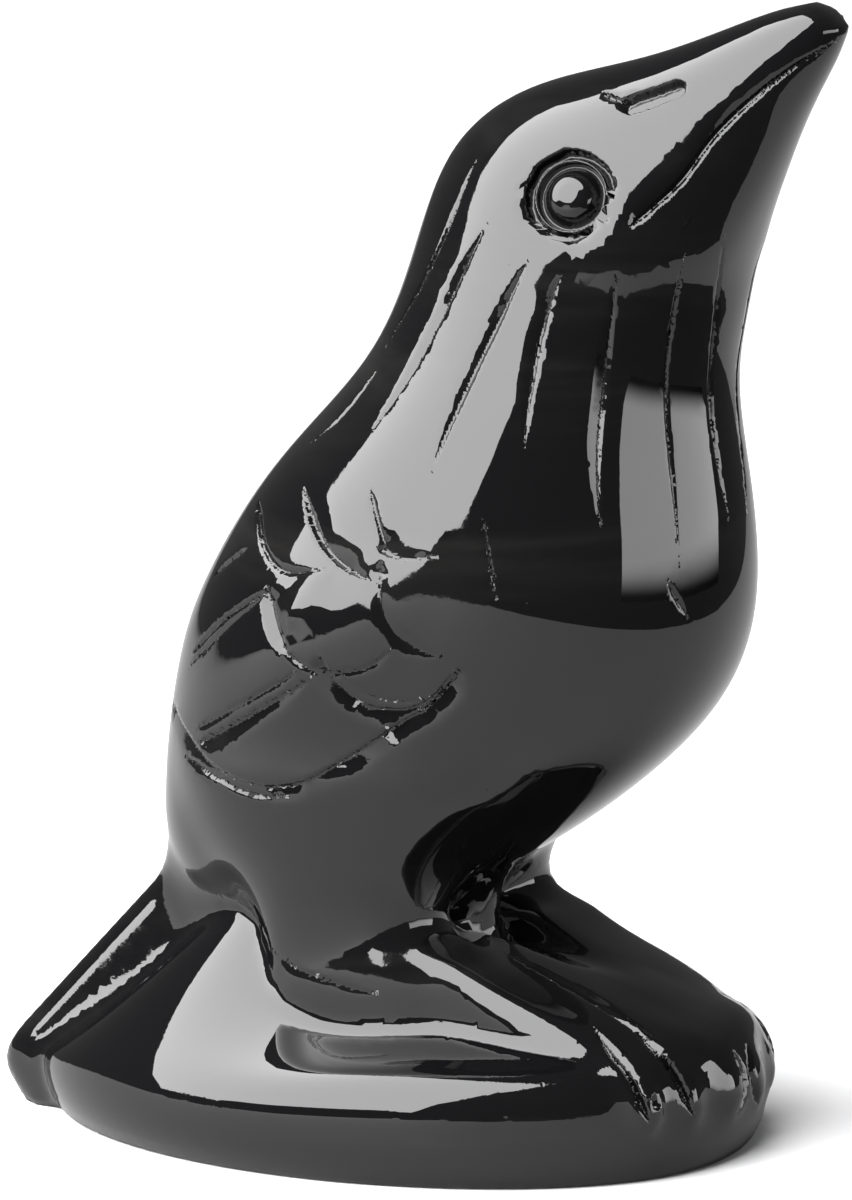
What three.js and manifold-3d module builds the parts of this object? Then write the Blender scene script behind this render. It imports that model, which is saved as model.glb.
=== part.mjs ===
// Carved raven figurine: bird and mound cut from one piece of polished black volcanic glass.
// Millimetres, +Z up. The bird faces -Y and its right side is -X. A place on it is given as
// (forward, side, up), where side is positive towards the bird's right.
import * as THREE from "three";
import { mergeVertices } from "three/addons/utils/BufferGeometryUtils.js";
import Module from "manifold-3d";

const wasm = await Module();
wasm.setup();

// Driving dimensions: the mound
const mound = {
  middle: 1.6,
  front: 14.9,
  rear: 17.9,
  half: 11.9,
  rimFront: 3.4,
  rimRear: 2.2,
  top: 10.2,
  fall: 0.28,
  sides: 40,
};

// The bird from belly to beak tip: back line, front line and half width
const bodySides = 26;
const bodyRings = 29;
const bodySquareness = 2.1;
const bodyStations = [
  { back: [-7.5, 9.0], front: [3.6, 10.6], half: 4.5 },
  { back: [-9.5, 11.1], front: [6.8, 12.6], half: 6.8 },
  { back: [-9.8, 13.9], front: [10.0, 14.8], half: 8.7 },
  { back: [-9.4, 17.6], front: [13.5, 18.1], half: 10.1 },
  { back: [-8.6, 21.2], front: [15.4, 21.5], half: 10.5 },
  { back: [-7.6, 23.9], front: [16.0, 25.0], half: 10.2 },
  { back: [-5.4, 27.8], front: [15.8, 28.6], half: 9.2 },
  { back: [-2.9, 30.8], front: [15.5, 31.3], half: 8.4 },
  { back: [-0.5, 33.5], front: [15.5, 33.5], half: 7.7 },
  { back: [1.2, 36.7], front: [15.7, 35.4], half: 7.1 },
  { back: [2.5, 40.9], front: [15.9, 36.9], half: 6.6 },
  { back: [4.0, 43.4], front: [16.1, 37.9], half: 6.2 },
  { back: [6.4, 45.1], front: [16.4, 38.8], half: 5.6 },
  { back: [9.3, 46.0], front: [16.8, 39.9], half: 4.7 },
  { back: [12.3, 46.8], front: [17.7, 42.0], half: 3.7 },
  { back: [15.2, 47.9], front: [18.8, 44.5], half: 2.8 },
  { back: [17.5, 48.8], front: [20.0, 46.6], half: 2.0 },
  { back: [19.0, 49.2], front: [20.6, 48.0], half: 1.3 },
];
const bodyPoles = { start: [-1.5, 8.6], end: [20.7, 48.9] };

// Tail: a square-edged bar from the rump down to the rear of the mound
const tail = {
  root: [-6.2, 11.1],
  tip: [-17.0, 0.3],
  rootHalf: 3.3,
  tipHalf: 2.9,
  rootThick: 2.6,
  tipThick: 2.1,
  squareness: 3.4,
  sides: 20,
  rings: 7,
};

// Legs and the web left standing between them: level sections, [forward, side] centre and half sizes
const legSides = 16;
const legSquareness = 2.3;
const legStations = [
  { up: 4.0, centre: [2.0, 5.2], half: [4.6, 2.9] },
  { up: 8.0, centre: [1.0, 5.4], half: [4.1, 2.8] },
  { up: 10.5, centre: [0.7, 5.5], half: [3.9, 2.7] },
  { up: 12.5, centre: [0.7, 5.6], half: [4.2, 2.9] },
  { up: 14.5, centre: [0.7, 5.6], half: [5.2, 3.4] },
  { up: 17.5, centre: [1.0, 5.4], half: [7.0, 4.2] },
];
const webStations = [
  { up: 5.0, centre: [-1.0, 0], half: [6.0, 1.6] },
  { up: 10.0, centre: [-0.8, 0], half: [5.6, 1.2] },
  { up: 14.5, centre: [-0.5, 0], half: [5.8, 1.6] },
];

// Feet: upright sections from heel to toes, each with its crest height
const footSides = 16;
const footSquareness = 2.2;
const footSole = 0.6;
const footStations = [
  { forward: -2.4, side: 5.4, half: 2.2, crest: 7.6 },
  { forward: 0.5, side: 5.4, half: 2.9, crest: 8.6 },
  { forward: 4.6, side: 4.8, half: 3.4, crest: 9.9 },
  { forward: 7.0, side: 4.3, half: 3.6, crest: 8.9 },
  { forward: 9.4, side: 4.0, half: 3.7, crest: 8.0 },
  { forward: 12.4, side: 3.8, half: 3.7, crest: 7.3 },
  { forward: 14.6, side: 3.7, half: 3.4, crest: 6.0 },
];
const footFloor = 2.4;
const toePlaces = [1.4, 3.8, 5.9];
const toeBend = 0.045;
const toeSides = 10;
const toeSteps = 6;
const toeLine = [
  { forward: 12.4, up: 4.3, radius: 0.7 },
  { forward: 13.9, up: 4.6, radius: 1.2 },
  { forward: 15.0, up: 4.1, radius: 1.3 },
  { forward: 15.7, up: 3.1, radius: 1.2 },
  { forward: 15.7, up: 2.4, radius: 0.9 },
];

// Eye and nostril, placed in the layout view
const eye = { at: [6.0, 17.4], ring: 3.8, dome: 3.0, depth: 0.6, proud: 0.1, sides: 18 };
const nostril = { at: [9.5, 21.5], length: 2.6, height: 0.8, depth: 0.5, tilt: 22 };

// Strokes are laid out in a quarter view of the right side, as [across, up] from its centre.
// Each is a cut with a deepest line along its path and a slope of its own to either hand.
const view = { turn: 25, tilt: 9.5, distance: 400, centre: [0.599, -1.284, 22.86] };
const cutRise = 0.5;
const stepsPerPoint = 1.6;
const fineCut = { left: 0.3, right: 0.3, depth: 0.3 };
const broadCut = { left: 0.45, right: 0.45, depth: 0.38 };
const featherCut = { left: 0.12, right: 0.6, depth: 0.32 };
const wingCut = { left: 0.15, right: 1.1, depth: 0.6 };
const strokes = [
  // mouth
  {
    path: [[8.5, 15.7], [10.6, 17.5], [12.2, 19.5], [13.9, 21.2], [15.7, 22.6], [17.6, 23.9]],
    ...fineCut,
  },
  // nape and neck
  { path: [[2.0, 18.5], [0.8, 15.5], [-0.3, 13.2], [-1.7, 10.8]], ...fineCut, once: true },
  { path: [[-2.0, 9.9], [-3.5, 7.9], [-4.9, 6.7]], ...fineCut },
  { path: [[2.5, 15.9], [1.1, 13.1], [-0.6, 9.7], [-2.5, 6.9]], ...fineCut },
  { path: [[4.2, 14.4], [3.1, 11.9], [1.5, 8.6], [0.2, 5.4]], ...broadCut },
  { path: [[5.8, 14.0], [4.9, 11.5], [4.3, 7.7], [4.2, 6.5]], ...broadCut },
  { path: [[8.0, 13.6], [7.5, 9.4], [7.2, 6.0], [7.3, 3.1]], ...broadCut },
  { path: [[11.0, 14.7], [10.3, 10.6], [10.3, 7.7], [10.8, 1.5]], ...fineCut },
  { path: [[12.7, 15.5], [12.3, 11.5], [12.1, 8.1], [12.9, 3.3]], ...fineCut },
  // shoulder feathers
  { path: [[-7.1, 3.8], [-7.1, 2.6], [-6.6, 1.6], [-5.5, 1.1], [-4.1, 1.4]], ...featherCut },
  { path: [[-4.5, 2.7], [-3.6, 1.7], [-2.3, 0.9]], ...featherCut },
  { path: [[-2.3, 4.5], [-2.1, 3.3], [-1.4, 2.8], [0.2, 2.1]], ...featherCut },
  { path: [[-1.8, 1.2], [-1.2, 0.8], [0.0, 0.4]], ...featherCut },
  // covert feathers
  {
    path: [[-6.4, 0.1], [-5.9, -0.8], [-4.8, -2.3], [-3.9, -2.8], [-2.1, -2.5], [-1.5, -1.8]],
    ...featherCut,
  },
  { path: [[-1.9, 0.7], [-1.7, -0.7], [-0.6, -1.9], [0.6, -2.4]], ...featherCut },
  {
    path: [[-4.4, -2.9], [-3.7, -4.0], [-2.4, -4.6], [-1.0, -4.6], [0.0, -4.2], [1.4, -2.9]],
    ...featherCut,
  },
  // long wing feathers
  { path: [[-10.2, -3.0], [-8.6, -1.2], [-6.7, 0.4]], ...fineCut },
  { path: [[-9.7, -5.7], [-7.2, -4.4], [-4.7, -3.0]], ...broadCut },
  // lower edge of the wing
  {
    path: [
      [-10.3, -5.9], [-9.0, -7.0], [-7.2, -7.8], [-5.6, -7.7],
      [-4.2, -7.1], [-2.0, -6.0], [0.0, -4.5], [1.4, -2.9],
    ],
    ...wingCut,
  },
];

function place(forward, side, up) {
  return new THREE.Vector3(-side, -forward, up);
}

function rounded(value, squareness) {
  return Math.sign(value) * Math.abs(value) ** (2 / squareness);
}

// A closed skin over rings of equal count, with a pole at each end
function skin(rings, startPole, endPole) {
  const count = rings[0].length;
  const points = [...rings.flat(), startPole, endPole];
  const startIndex = points.length - 2;
  const endIndex = points.length - 1;
  const faces = [];
  for (let side = 0; side < count; side += 1) {
    const next = (side + 1) % count;
    faces.push(startIndex, next, side);
    for (let ring = 0; ring + 1 < rings.length; ring += 1) {
      const low = ring * count;
      const high = low + count;
      faces.push(low + side, low + next, high + next);
      faces.push(low + side, high + next, high + side);
    }
    const last = (rings.length - 1) * count;
    faces.push(endIndex, last + side, last + next);
  }
  const geometry = new THREE.BufferGeometry().setFromPoints(points);
  geometry.setIndex(faces);
  return geometry;
}

function signedVolume(geometry) {
  const position = geometry.getAttribute("position");
  const corner = [new THREE.Vector3(), new THREE.Vector3(), new THREE.Vector3()];
  let total = 0;
  for (let face = 0; face < geometry.index.count; face += 3) {
    corner.forEach((point, slot) => {
      point.fromBufferAttribute(position, geometry.index.getX(face + slot));
    });
    total += corner[0].dot(corner[1].clone().cross(corner[2])) / 6;
  }
  return total;
}

// A closed geometry as a solid, turned right side out
function solid(geometry) {
  const bare = new THREE.BufferGeometry();
  bare.setAttribute("position", geometry.getAttribute("position").clone());
  if (geometry.index) {
    bare.setIndex(geometry.index);
  }
  const merged = mergeVertices(bare, 1e-5);
  const triVerts = Uint32Array.from(merged.index.array);
  if (signedVolume(merged) < 0) {
    for (let face = 0; face < triVerts.length; face += 3) {
      [triVerts[face], triVerts[face + 1]] = [triVerts[face + 1], triVerts[face]];
    }
  }
  const vertProperties = Float32Array.from(merged.getAttribute("position").array);
  return new wasm.Manifold(new wasm.Mesh({ numProp: 3, vertProperties, triVerts }));
}

function geometryOf(body) {
  const mesh = body.getMesh();
  const geometry = new THREE.BufferGeometry();
  geometry.setAttribute("position", new THREE.BufferAttribute(mesh.vertProperties, 3));
  geometry.setIndex(new THREE.BufferAttribute(mesh.triVerts, 1));
  return geometry;
}

// The same shape on the bird's other side
function mirrored(geometry) {
  return geometry.clone().applyMatrix4(new THREE.Matrix4().makeScale(-1, 1, 1));
}

// Body, neck, head and beak as one skin through the stations
function birdSkin() {
  const backs = new THREE.SplineCurve(bodyStations.map((row) => new THREE.Vector2(...row.back)));
  const fronts = new THREE.SplineCurve(bodyStations.map((row) => new THREE.Vector2(...row.front)));
  const halves = new THREE.SplineCurve(
    bodyStations.map((row, index) => new THREE.Vector2(index, row.half)),
  );
  const rings = [];
  for (let step = 0; step <= bodyRings; step += 1) {
    const along = step / bodyRings;
    const back = backs.getPoint(along);
    const front = fronts.getPoint(along);
    const half = halves.getPoint(along).y;
    const centre = back.clone().add(front).multiplyScalar(0.5);
    const reach = front.clone().sub(back).multiplyScalar(0.5);
    const ring = [];
    for (let side = 0; side < bodySides; side += 1) {
      const angle = (side / bodySides) * Math.PI * 2;
      const forward = rounded(Math.cos(angle), bodySquareness);
      const across = rounded(Math.sin(angle), bodySquareness);
      ring.push(place(
        centre.x + reach.x * forward,
        half * across,
        centre.y + reach.y * forward,
      ));
    }
    rings.push(ring);
  }
  const { start, end } = bodyPoles;
  return skin(rings, place(start[0], 0, start[1]), place(end[0], 0, end[1]));
}

// Mound: an egg-shaped pebble under a cone-like hill that carries the feet
function moundSkin() {
  const edge = [
    { up: 0, inset: 0.9 },
    { up: 0.4, inset: 0.5 },
    { up: 1.2, inset: 0.15 },
    { up: 2.0, inset: 0 },
  ];
  const hill = [0.99, 0.96, 0.9, 0.81, 0.69, 0.54, 0.34];
  const outline = (angle, scale, inset) => {
    const squareness = 1.95 + 0.2 * Math.cos(angle);
    const along = rounded(Math.cos(angle), squareness);
    const across = rounded(Math.sin(angle), squareness);
    const length = (along > 0 ? mound.front : mound.rear) - inset;
    return [mound.middle + along * length * scale, across * (mound.half - inset) * scale];
  };
  const ringAt = (scale, inset, height) => {
    const ring = [];
    for (let side = 0; side < mound.sides; side += 1) {
      const angle = (side / mound.sides) * Math.PI * 2;
      const [forward, across] = outline(angle, scale, inset);
      ring.push(place(forward, across, height(angle)));
    }
    return ring;
  };
  const rings = edge.map((row) => ringAt(1, row.inset, () => row.up));
  hill.forEach((scale) => {
    rings.push(ringAt(scale, 0, (angle) => {
      const ahead = Math.cos(angle);
      const rim = THREE.MathUtils.lerp(mound.rimRear, mound.rimFront, (ahead + 1) / 2);
      const power = 2.6 + 1.2 * Math.max(ahead, 0) - 0.8 * Math.max(-ahead, 0);
      const crest = mound.top - mound.fall * Math.max(outline(angle, scale, 0)[0], 0);
      return rim + (crest - rim) * (1 - scale ** power);
    }));
  });
  return skin(rings, place(mound.middle, 0, 0), place(mound.middle, 0, mound.top));
}

function tailSkin() {
  const rings = [];
  const slope = new THREE.Vector2(tail.root[0] - tail.tip[0], tail.root[1] - tail.tip[1]).normalize();
  for (let step = 0; step <= tail.rings; step += 1) {
    const along = Math.sin((step / tail.rings) * Math.PI * 0.5);
    const round = Math.sqrt(1 - 0.55 * THREE.MathUtils.clamp((along - 0.9) / 0.1, 0, 1) ** 2);
    const half = THREE.MathUtils.lerp(tail.rootHalf, tail.tipHalf, along) * round;
    const thick = THREE.MathUtils.lerp(tail.rootThick, tail.tipThick, along) * round;
    const forward = THREE.MathUtils.lerp(tail.root[0], tail.tip[0], along);
    const up = THREE.MathUtils.lerp(tail.root[1], tail.tip[1], along);
    const ring = [];
    for (let side = 0; side < tail.sides; side += 1) {
      const angle = (side / tail.sides) * Math.PI * 2;
      const over = rounded(Math.cos(angle), tail.squareness) * thick;
      const across = rounded(Math.sin(angle), tail.squareness) * half;
      ring.push(place(forward - slope.y * over, across, up + slope.x * over));
    }
    rings.push(ring);
  }
  return skin(rings, place(tail.root[0], 0, tail.root[1]), place(tail.tip[0], 0, tail.tip[1]));
}

function levelSkin(stations) {
  const rings = stations.map((row) => {
    const ring = [];
    for (let side = 0; side < legSides; side += 1) {
      const angle = (side / legSides) * Math.PI * 2;
      ring.push(place(
        row.centre[0] + rounded(Math.cos(angle), legSquareness) * row.half[0],
        row.centre[1] + rounded(Math.sin(angle), legSquareness) * row.half[1],
        row.up,
      ));
    }
    return ring;
  });
  const low = stations[0];
  const high = stations.at(-1);
  return skin(rings, place(...low.centre, low.up), place(...high.centre, high.up));
}

function footSkin() {
  const rings = footStations.map((row) => {
    const ring = [];
    for (let side = 0; side < footSides; side += 1) {
      const angle = (side / footSides) * Math.PI * 2;
      const rise = rounded(Math.sin(angle), footSquareness);
      const height = rise > 0 ? row.crest - footFloor : footSole;
      const across = row.side + rounded(Math.cos(angle), footSquareness) * row.half;
      const bend = toeBend * THREE.MathUtils.smoothstep(row.forward, 5, 13);
      ring.push(place(row.forward - bend * across ** 2, across, footFloor + rise * height));
    }
    return ring;
  });
  const heel = footStations[0];
  const toe = footStations.at(-1);
  const end = toe.forward - toeBend * toe.side ** 2;
  return skin(
    rings,
    place(heel.forward - 0.8, heel.side, footFloor + 2),
    place(end + 0.2, toe.side, footFloor + 0.8),
  );
}

// One toe: a round ridge that bends over the rim of the mound
function toeSkin(side) {
  const points = toeLine.map((row) => new THREE.Vector2(row.forward - toeBend * side ** 2, row.up));
  const line = new THREE.SplineCurve(points);
  const radii = new THREE.SplineCurve(
    toeLine.map((row, index) => new THREE.Vector2(index, row.radius)),
  );
  const rings = [];
  for (let step = 0; step <= toeSteps; step += 1) {
    const along = step / toeSteps;
    const centre = line.getPoint(along);
    const ahead = line.getTangent(along);
    const radius = radii.getPoint(along).y;
    const ring = [];
    for (let turn = 0; turn < toeSides; turn += 1) {
      const angle = (turn / toeSides) * Math.PI * 2;
      const over = Math.sin(angle) * radius;
      ring.push(place(
        centre.x - ahead.y * over,
        side + Math.cos(angle) * radius,
        centre.y + ahead.x * over,
      ));
    }
    rings.push(ring);
  }
  const [start, end] = [points[0], points.at(-1)];
  const tip = toeLine.at(-1).radius * 0.8;
  return skin(rings, place(start.x - 1, side, start.y), place(end.x, side, end.y - tip));
}

function blank() {
  let body = solid(moundSkin());
  for (const part of [birdSkin(), tailSkin(), levelSkin(webStations)]) {
    body = body.add(solid(part));
  }
  for (const part of [levelSkin(legStations), footSkin(), ...toePlaces.map(toeSkin)]) {
    body = body.add(solid(part)).add(solid(mirrored(part)));
  }
  const room = 60;
  const aboveGround = new THREE.BoxGeometry(room, room, room).translate(0, 0, room / 2);
  return body.intersect(solid(aboveGround));
}

// Looks through the layout view and finds where a point of it lies on the uncut bird
function layoutFinder(target) {
  const turn = THREE.MathUtils.degToRad(view.turn);
  const tilt = THREE.MathUtils.degToRad(view.tilt);
  const toEye = place(
    Math.sin(turn) * Math.cos(tilt),
    Math.cos(turn) * Math.cos(tilt),
    Math.sin(tilt),
  );
  const across = place(Math.cos(turn), -Math.sin(turn), 0);
  const up = toEye.clone().cross(across);
  const centre = new THREE.Vector3(...view.centre);
  const eyePoint = centre.clone().addScaledVector(toEye, view.distance);
  const raycaster = new THREE.Raycaster();
  return ([right, high]) => {
    const aim = centre.clone().addScaledVector(across, right).addScaledVector(up, high);
    raycaster.set(eyePoint, aim.sub(eyePoint).normalize());
    const [hit] = raycaster.intersectObject(target);
    return { point: hit.point, normal: hit.normal.clone().normalize() };
  };
}

// A cutter along a stroke: a three-sided blade that thins out towards both ends
function strokeCutter(stroke, find) {
  const steps = Math.round(stroke.path.length * stepsPerPoint);
  const line = new THREE.SplineCurve(stroke.path.map((point) => new THREE.Vector2(...point)));
  const spots = [];
  for (let step = 0; step <= steps; step += 1) {
    spots.push(find(line.getPoint(step / steps).toArray()));
  }
  const rings = spots.map(({ point, normal }, index) => {
    const before = spots[Math.max(index - 1, 0)].point;
    const after = spots[Math.min(index + 1, steps)].point;
    const ahead = after.clone().sub(before).normalize();
    const leftward = normal.clone().cross(ahead).normalize();
    const fade = 0.15 + 0.85 * Math.sin((Math.PI * (index + 0.3)) / (steps + 0.6)) ** 0.6;
    const flare = 1 + cutRise / (stroke.depth * fade);
    const bottom = point.clone().addScaledVector(normal, -stroke.depth * fade);
    const top = point.clone().addScaledVector(normal, cutRise);
    return [
      bottom,
      top.clone().addScaledVector(leftward, -stroke.right * fade * flare),
      top.clone().addScaledVector(leftward, stroke.left * fade * flare),
    ];
  });
  const middle = (ring) => ring[0].clone().add(ring[1]).add(ring[2]).divideScalar(3);
  return skin(rings, middle(rings[0]), middle(rings.at(-1)));
}

const obsidian = new THREE.MeshStandardMaterial({ color: 0x0b0b0c, roughness: 0.05, metalness: 0 });

// Turns a shape modelled around the Z axis to stand on a spot of the surface
function standOn({ point, normal }, geometry) {
  const upright = new THREE.Vector3(0, 0, 1);
  const turn = new THREE.Quaternion().setFromUnitVectors(upright, normal);
  return geometry.applyQuaternion(turn).translate(point.x, point.y, point.z);
}

// Eye: a tapered drilled ring with a round dome left standing in it
function eyeRing(spot) {
  const outer = eye.ring / 2;
  const clear = 1.5;
  const profile = [
    [0, clear],
    [outer * 1.1, clear],
    [outer, 0],
    [outer * 0.86, -eye.depth],
    [0, -eye.depth],
  ];
  const ring = new THREE.LatheGeometry(profile.map((pair) => new THREE.Vector2(...pair)), eye.sides);
  return standOn(spot, ring.rotateX(Math.PI / 2));
}

function eyeDome(spot) {
  const half = eye.dome / 2;
  const buried = -eye.depth * 2;
  const arcSteps = 4;
  const profile = [[0, buried], [half, buried]];
  for (let step = 0; step < arcSteps; step += 1) {
    const angle = (step / arcSteps) * Math.PI * 0.5;
    profile.push([half * Math.cos(angle), -eye.depth + (eye.depth + eye.proud) * Math.sin(angle)]);
  }
  profile.push([0, eye.proud]);
  const dome = new THREE.LatheGeometry(profile.map((pair) => new THREE.Vector2(...pair)), eye.sides);
  return standOn(spot, dome.rotateX(Math.PI / 2));
}

// Nostril: a round-ended slot along the beak
function nostrilSlot(find) {
  const reach = nostril.length / 2 - nostril.height / 2;
  const tilt = THREE.MathUtils.degToRad(nostril.tilt);
  const [right, high] = nostril.at;
  const front = find([right + reach * Math.cos(tilt), high + reach * Math.sin(tilt)]);
  const back = find([right - reach * Math.cos(tilt), high - reach * Math.sin(tilt)]);
  const { point, normal } = find(nostril.at);
  const along = front.point.clone().sub(back.point).normalize();
  const frame = new THREE.Matrix4().makeBasis(along, normal.clone().cross(along), normal);
  const slot = new THREE.Shape();
  slot.absarc(reach, 0, nostril.height / 2, -Math.PI / 2, Math.PI / 2);
  slot.absarc(-reach, 0, nostril.height / 2, Math.PI / 2, Math.PI * 1.5);
  const depth = nostril.depth + 1;
  const block = new THREE.ExtrudeGeometry(slot, { depth, bevelEnabled: false, curveSegments: 6 });
  return block.translate(0, 0, -nostril.depth).applyMatrix4(frame.setPosition(point));
}

function carved() {
  let body = blank();
  const target = new THREE.Mesh(geometryOf(body));
  target.geometry.computeVertexNormals();
  const find = layoutFinder(target);
  for (const stroke of strokes) {
    const cutter = strokeCutter(stroke, find);
    body = body.subtract(solid(cutter));
    if (!stroke.once) {
      body = body.subtract(solid(mirrored(cutter)));
    }
  }
  const eyeSpot = find(eye.at);
  for (const cutter of [eyeRing(eyeSpot), nostrilSlot(find)]) {
    body = body.subtract(solid(cutter)).subtract(solid(mirrored(cutter)));
  }
  const dome = eyeDome(eyeSpot);
  return body.add(solid(dome)).add(solid(mirrored(dome)));
}

const raven = new THREE.Mesh(geometryOf(carved()), obsidian);
raven.name = "raven_carving";

// The origin is the middle of the underside of the bounding box
const bounds = new THREE.Box3().setFromObject(raven);
const middle = bounds.getCenter(new THREE.Vector3());
raven.position.set(-middle.x, -middle.y, -bounds.min.z);

const group = new THREE.Group();
group.add(raven);

export default group;
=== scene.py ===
import math
import random

import bpy
import numpy as np
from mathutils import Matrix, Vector, noise
from mathutils.bvhtree import BVHTree
from mathutils.kdtree import KDTree


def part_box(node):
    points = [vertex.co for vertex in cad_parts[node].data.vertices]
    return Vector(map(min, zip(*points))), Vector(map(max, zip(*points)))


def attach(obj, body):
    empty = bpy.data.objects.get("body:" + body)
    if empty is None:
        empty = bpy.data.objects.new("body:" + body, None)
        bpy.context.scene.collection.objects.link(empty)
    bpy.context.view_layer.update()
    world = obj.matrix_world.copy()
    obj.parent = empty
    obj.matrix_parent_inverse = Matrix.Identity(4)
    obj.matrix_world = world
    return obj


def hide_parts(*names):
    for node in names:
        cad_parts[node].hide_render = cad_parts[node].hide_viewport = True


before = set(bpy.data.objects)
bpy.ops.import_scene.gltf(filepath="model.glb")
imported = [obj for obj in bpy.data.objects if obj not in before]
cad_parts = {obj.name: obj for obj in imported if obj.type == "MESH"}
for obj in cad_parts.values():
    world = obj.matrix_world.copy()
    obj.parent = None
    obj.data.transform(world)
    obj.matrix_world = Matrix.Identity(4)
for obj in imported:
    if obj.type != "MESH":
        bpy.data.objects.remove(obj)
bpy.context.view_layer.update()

# Raven and mound carved as one from black volcanic glass.
# Modelled in millimetres on the carver's own axes, then brought to metres at the end.
# A place on the bird is (forward, side, up); side is positive towards its right.

mm = 0.001
beakReach = 20.7  # how far forward of the working centre the beak tip lies
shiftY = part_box("raven_carving")[0].y / mm + beakReach


def place(forward, side, up):
    return Vector((-side, -forward, up))


def selectNothing():
    if bpy.context.object and bpy.context.object.mode != "OBJECT":
        bpy.ops.object.mode_set(mode="OBJECT")
    bpy.ops.object.select_all(action="DESELECT")


# Modifiers are applied at once, so each later step works on the real mesh
def useModifier(piece, kind, **settings):
    bpy.context.view_layer.objects.active = piece
    modifier = piece.modifiers.new(kind.lower(), kind)
    for key, value in settings.items():
        setattr(modifier, key, value)
    bpy.ops.object.modifier_apply(modifier=modifier.name)


def subdivide(piece, levels=2):
    useModifier(piece, "SUBSURF", levels=levels, render_levels=levels)


def coordinates(piece):
    table = np.empty(len(piece.data.vertices) * 3)
    piece.data.vertices.foreach_get("co", table)
    return table.reshape(-1, 3)


def moveTo(piece, table):
    piece.data.vertices.foreach_set("co", table.ravel())
    piece.data.update()


def meshTree(piece):
    corners = [Vector(c) for c in coordinates(piece)]
    return BVHTree.FromPolygons(corners, [tuple(face.vertices) for face in piece.data.polygons])


# A cosine or sine drawn out from a circle, at squareness 2, towards a square
def rounded(value, squareness):
    return math.copysign(abs(value) ** (2 / squareness), value)


def smoothStep(value, low, high):
    t = min(max((value - low) / (high - low), 0), 1)
    return t * t * (3 - 2 * t)


# The rows with one more at each end, straight on from the last two
def runOn(rows):
    return np.vstack([2 * rows[0] - rows[1], rows, 2 * rows[-1] - rows[-2]])


# Evenly spaced rows along a soft curve that runs very near the given ones
def softRows(rows, steps):
    rows = np.array(rows, float)
    near = runOn(rows)
    control = runOn(rows + (rows - (near[:-2] + 4 * near[1:-1] + near[2:]) / 6))
    result = []
    for step in range(steps + 1):
        along = step / steps * (len(rows) - 1)
        base = min(int(along), len(rows) - 2)
        w = along - base
        weights = [(1 - w) ** 3, 3 * w ** 3 - 6 * w ** 2 + 4, -3 * w ** 3 + 3 * w ** 2 + 3 * w + 1, w ** 3]
        result.append(sum(control[base + i] * weights[i] for i in range(4)) / 6)
    return result


# Extruding leaves faces in an order that changes from run to run, so they are put in a fixed one
def steadyFaces(piece):
    corners = [corner.co.copy() for corner in piece.data.vertices]
    faces = []
    for face in piece.data.polygons:
        around = list(face.vertices)
        first = around.index(min(around))
        faces.append(around[first:] + around[:first])
    piece.data.clear_geometry()
    piece.data.from_pydata(corners, [], sorted(faces))


# A skin is grown from one ring: extrude its edge, lay the new ring flat, size it, tilt it and carry
# it to its place. A section is (centre, tilt, half width, half depth).
def growSkin(name, sides, squareness, sections, levels=2):
    selectNothing()
    bpy.ops.mesh.primitive_circle_add(vertices=sides, radius=1, location=(0, 0, 0))
    piece = bpy.context.object
    piece.name = name
    for corner in piece.data.vertices:
        corner.co.x = rounded(corner.co.x, squareness)
        corner.co.y = rounded(corner.co.y, squareness)
    bpy.ops.object.mode_set(mode="EDIT")
    bpy.ops.mesh.select_all(action="SELECT")
    centre, tilt, wide, deep = Vector((0, 0, 0)), 0, 1, 1
    for index, section in enumerate(sections):
        if index:
            bpy.ops.mesh.extrude_region_move()
            bpy.ops.transform.translate(value=-centre)
            bpy.ops.transform.rotate(value=tilt, orient_axis="X", center_override=(0, 0, 0))
        bpy.ops.transform.resize(value=(section[2] / wide, section[3] / deep, 1), center_override=(0, 0, 0))
        centre, tilt, wide, deep = section
        bpy.ops.transform.rotate(value=-tilt, orient_axis="X", center_override=(0, 0, 0))
        bpy.ops.transform.translate(value=centre)
        if index == 0:
            bpy.ops.mesh.edge_face_add()
    bpy.ops.mesh.edge_face_add()
    bpy.ops.mesh.select_all(action="SELECT")
    bpy.ops.mesh.normals_make_consistent(inside=False)
    bpy.ops.object.mode_set(mode="OBJECT")
    steadyFaces(piece)
    if levels:
        subdivide(piece, levels)
    return piece


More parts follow.
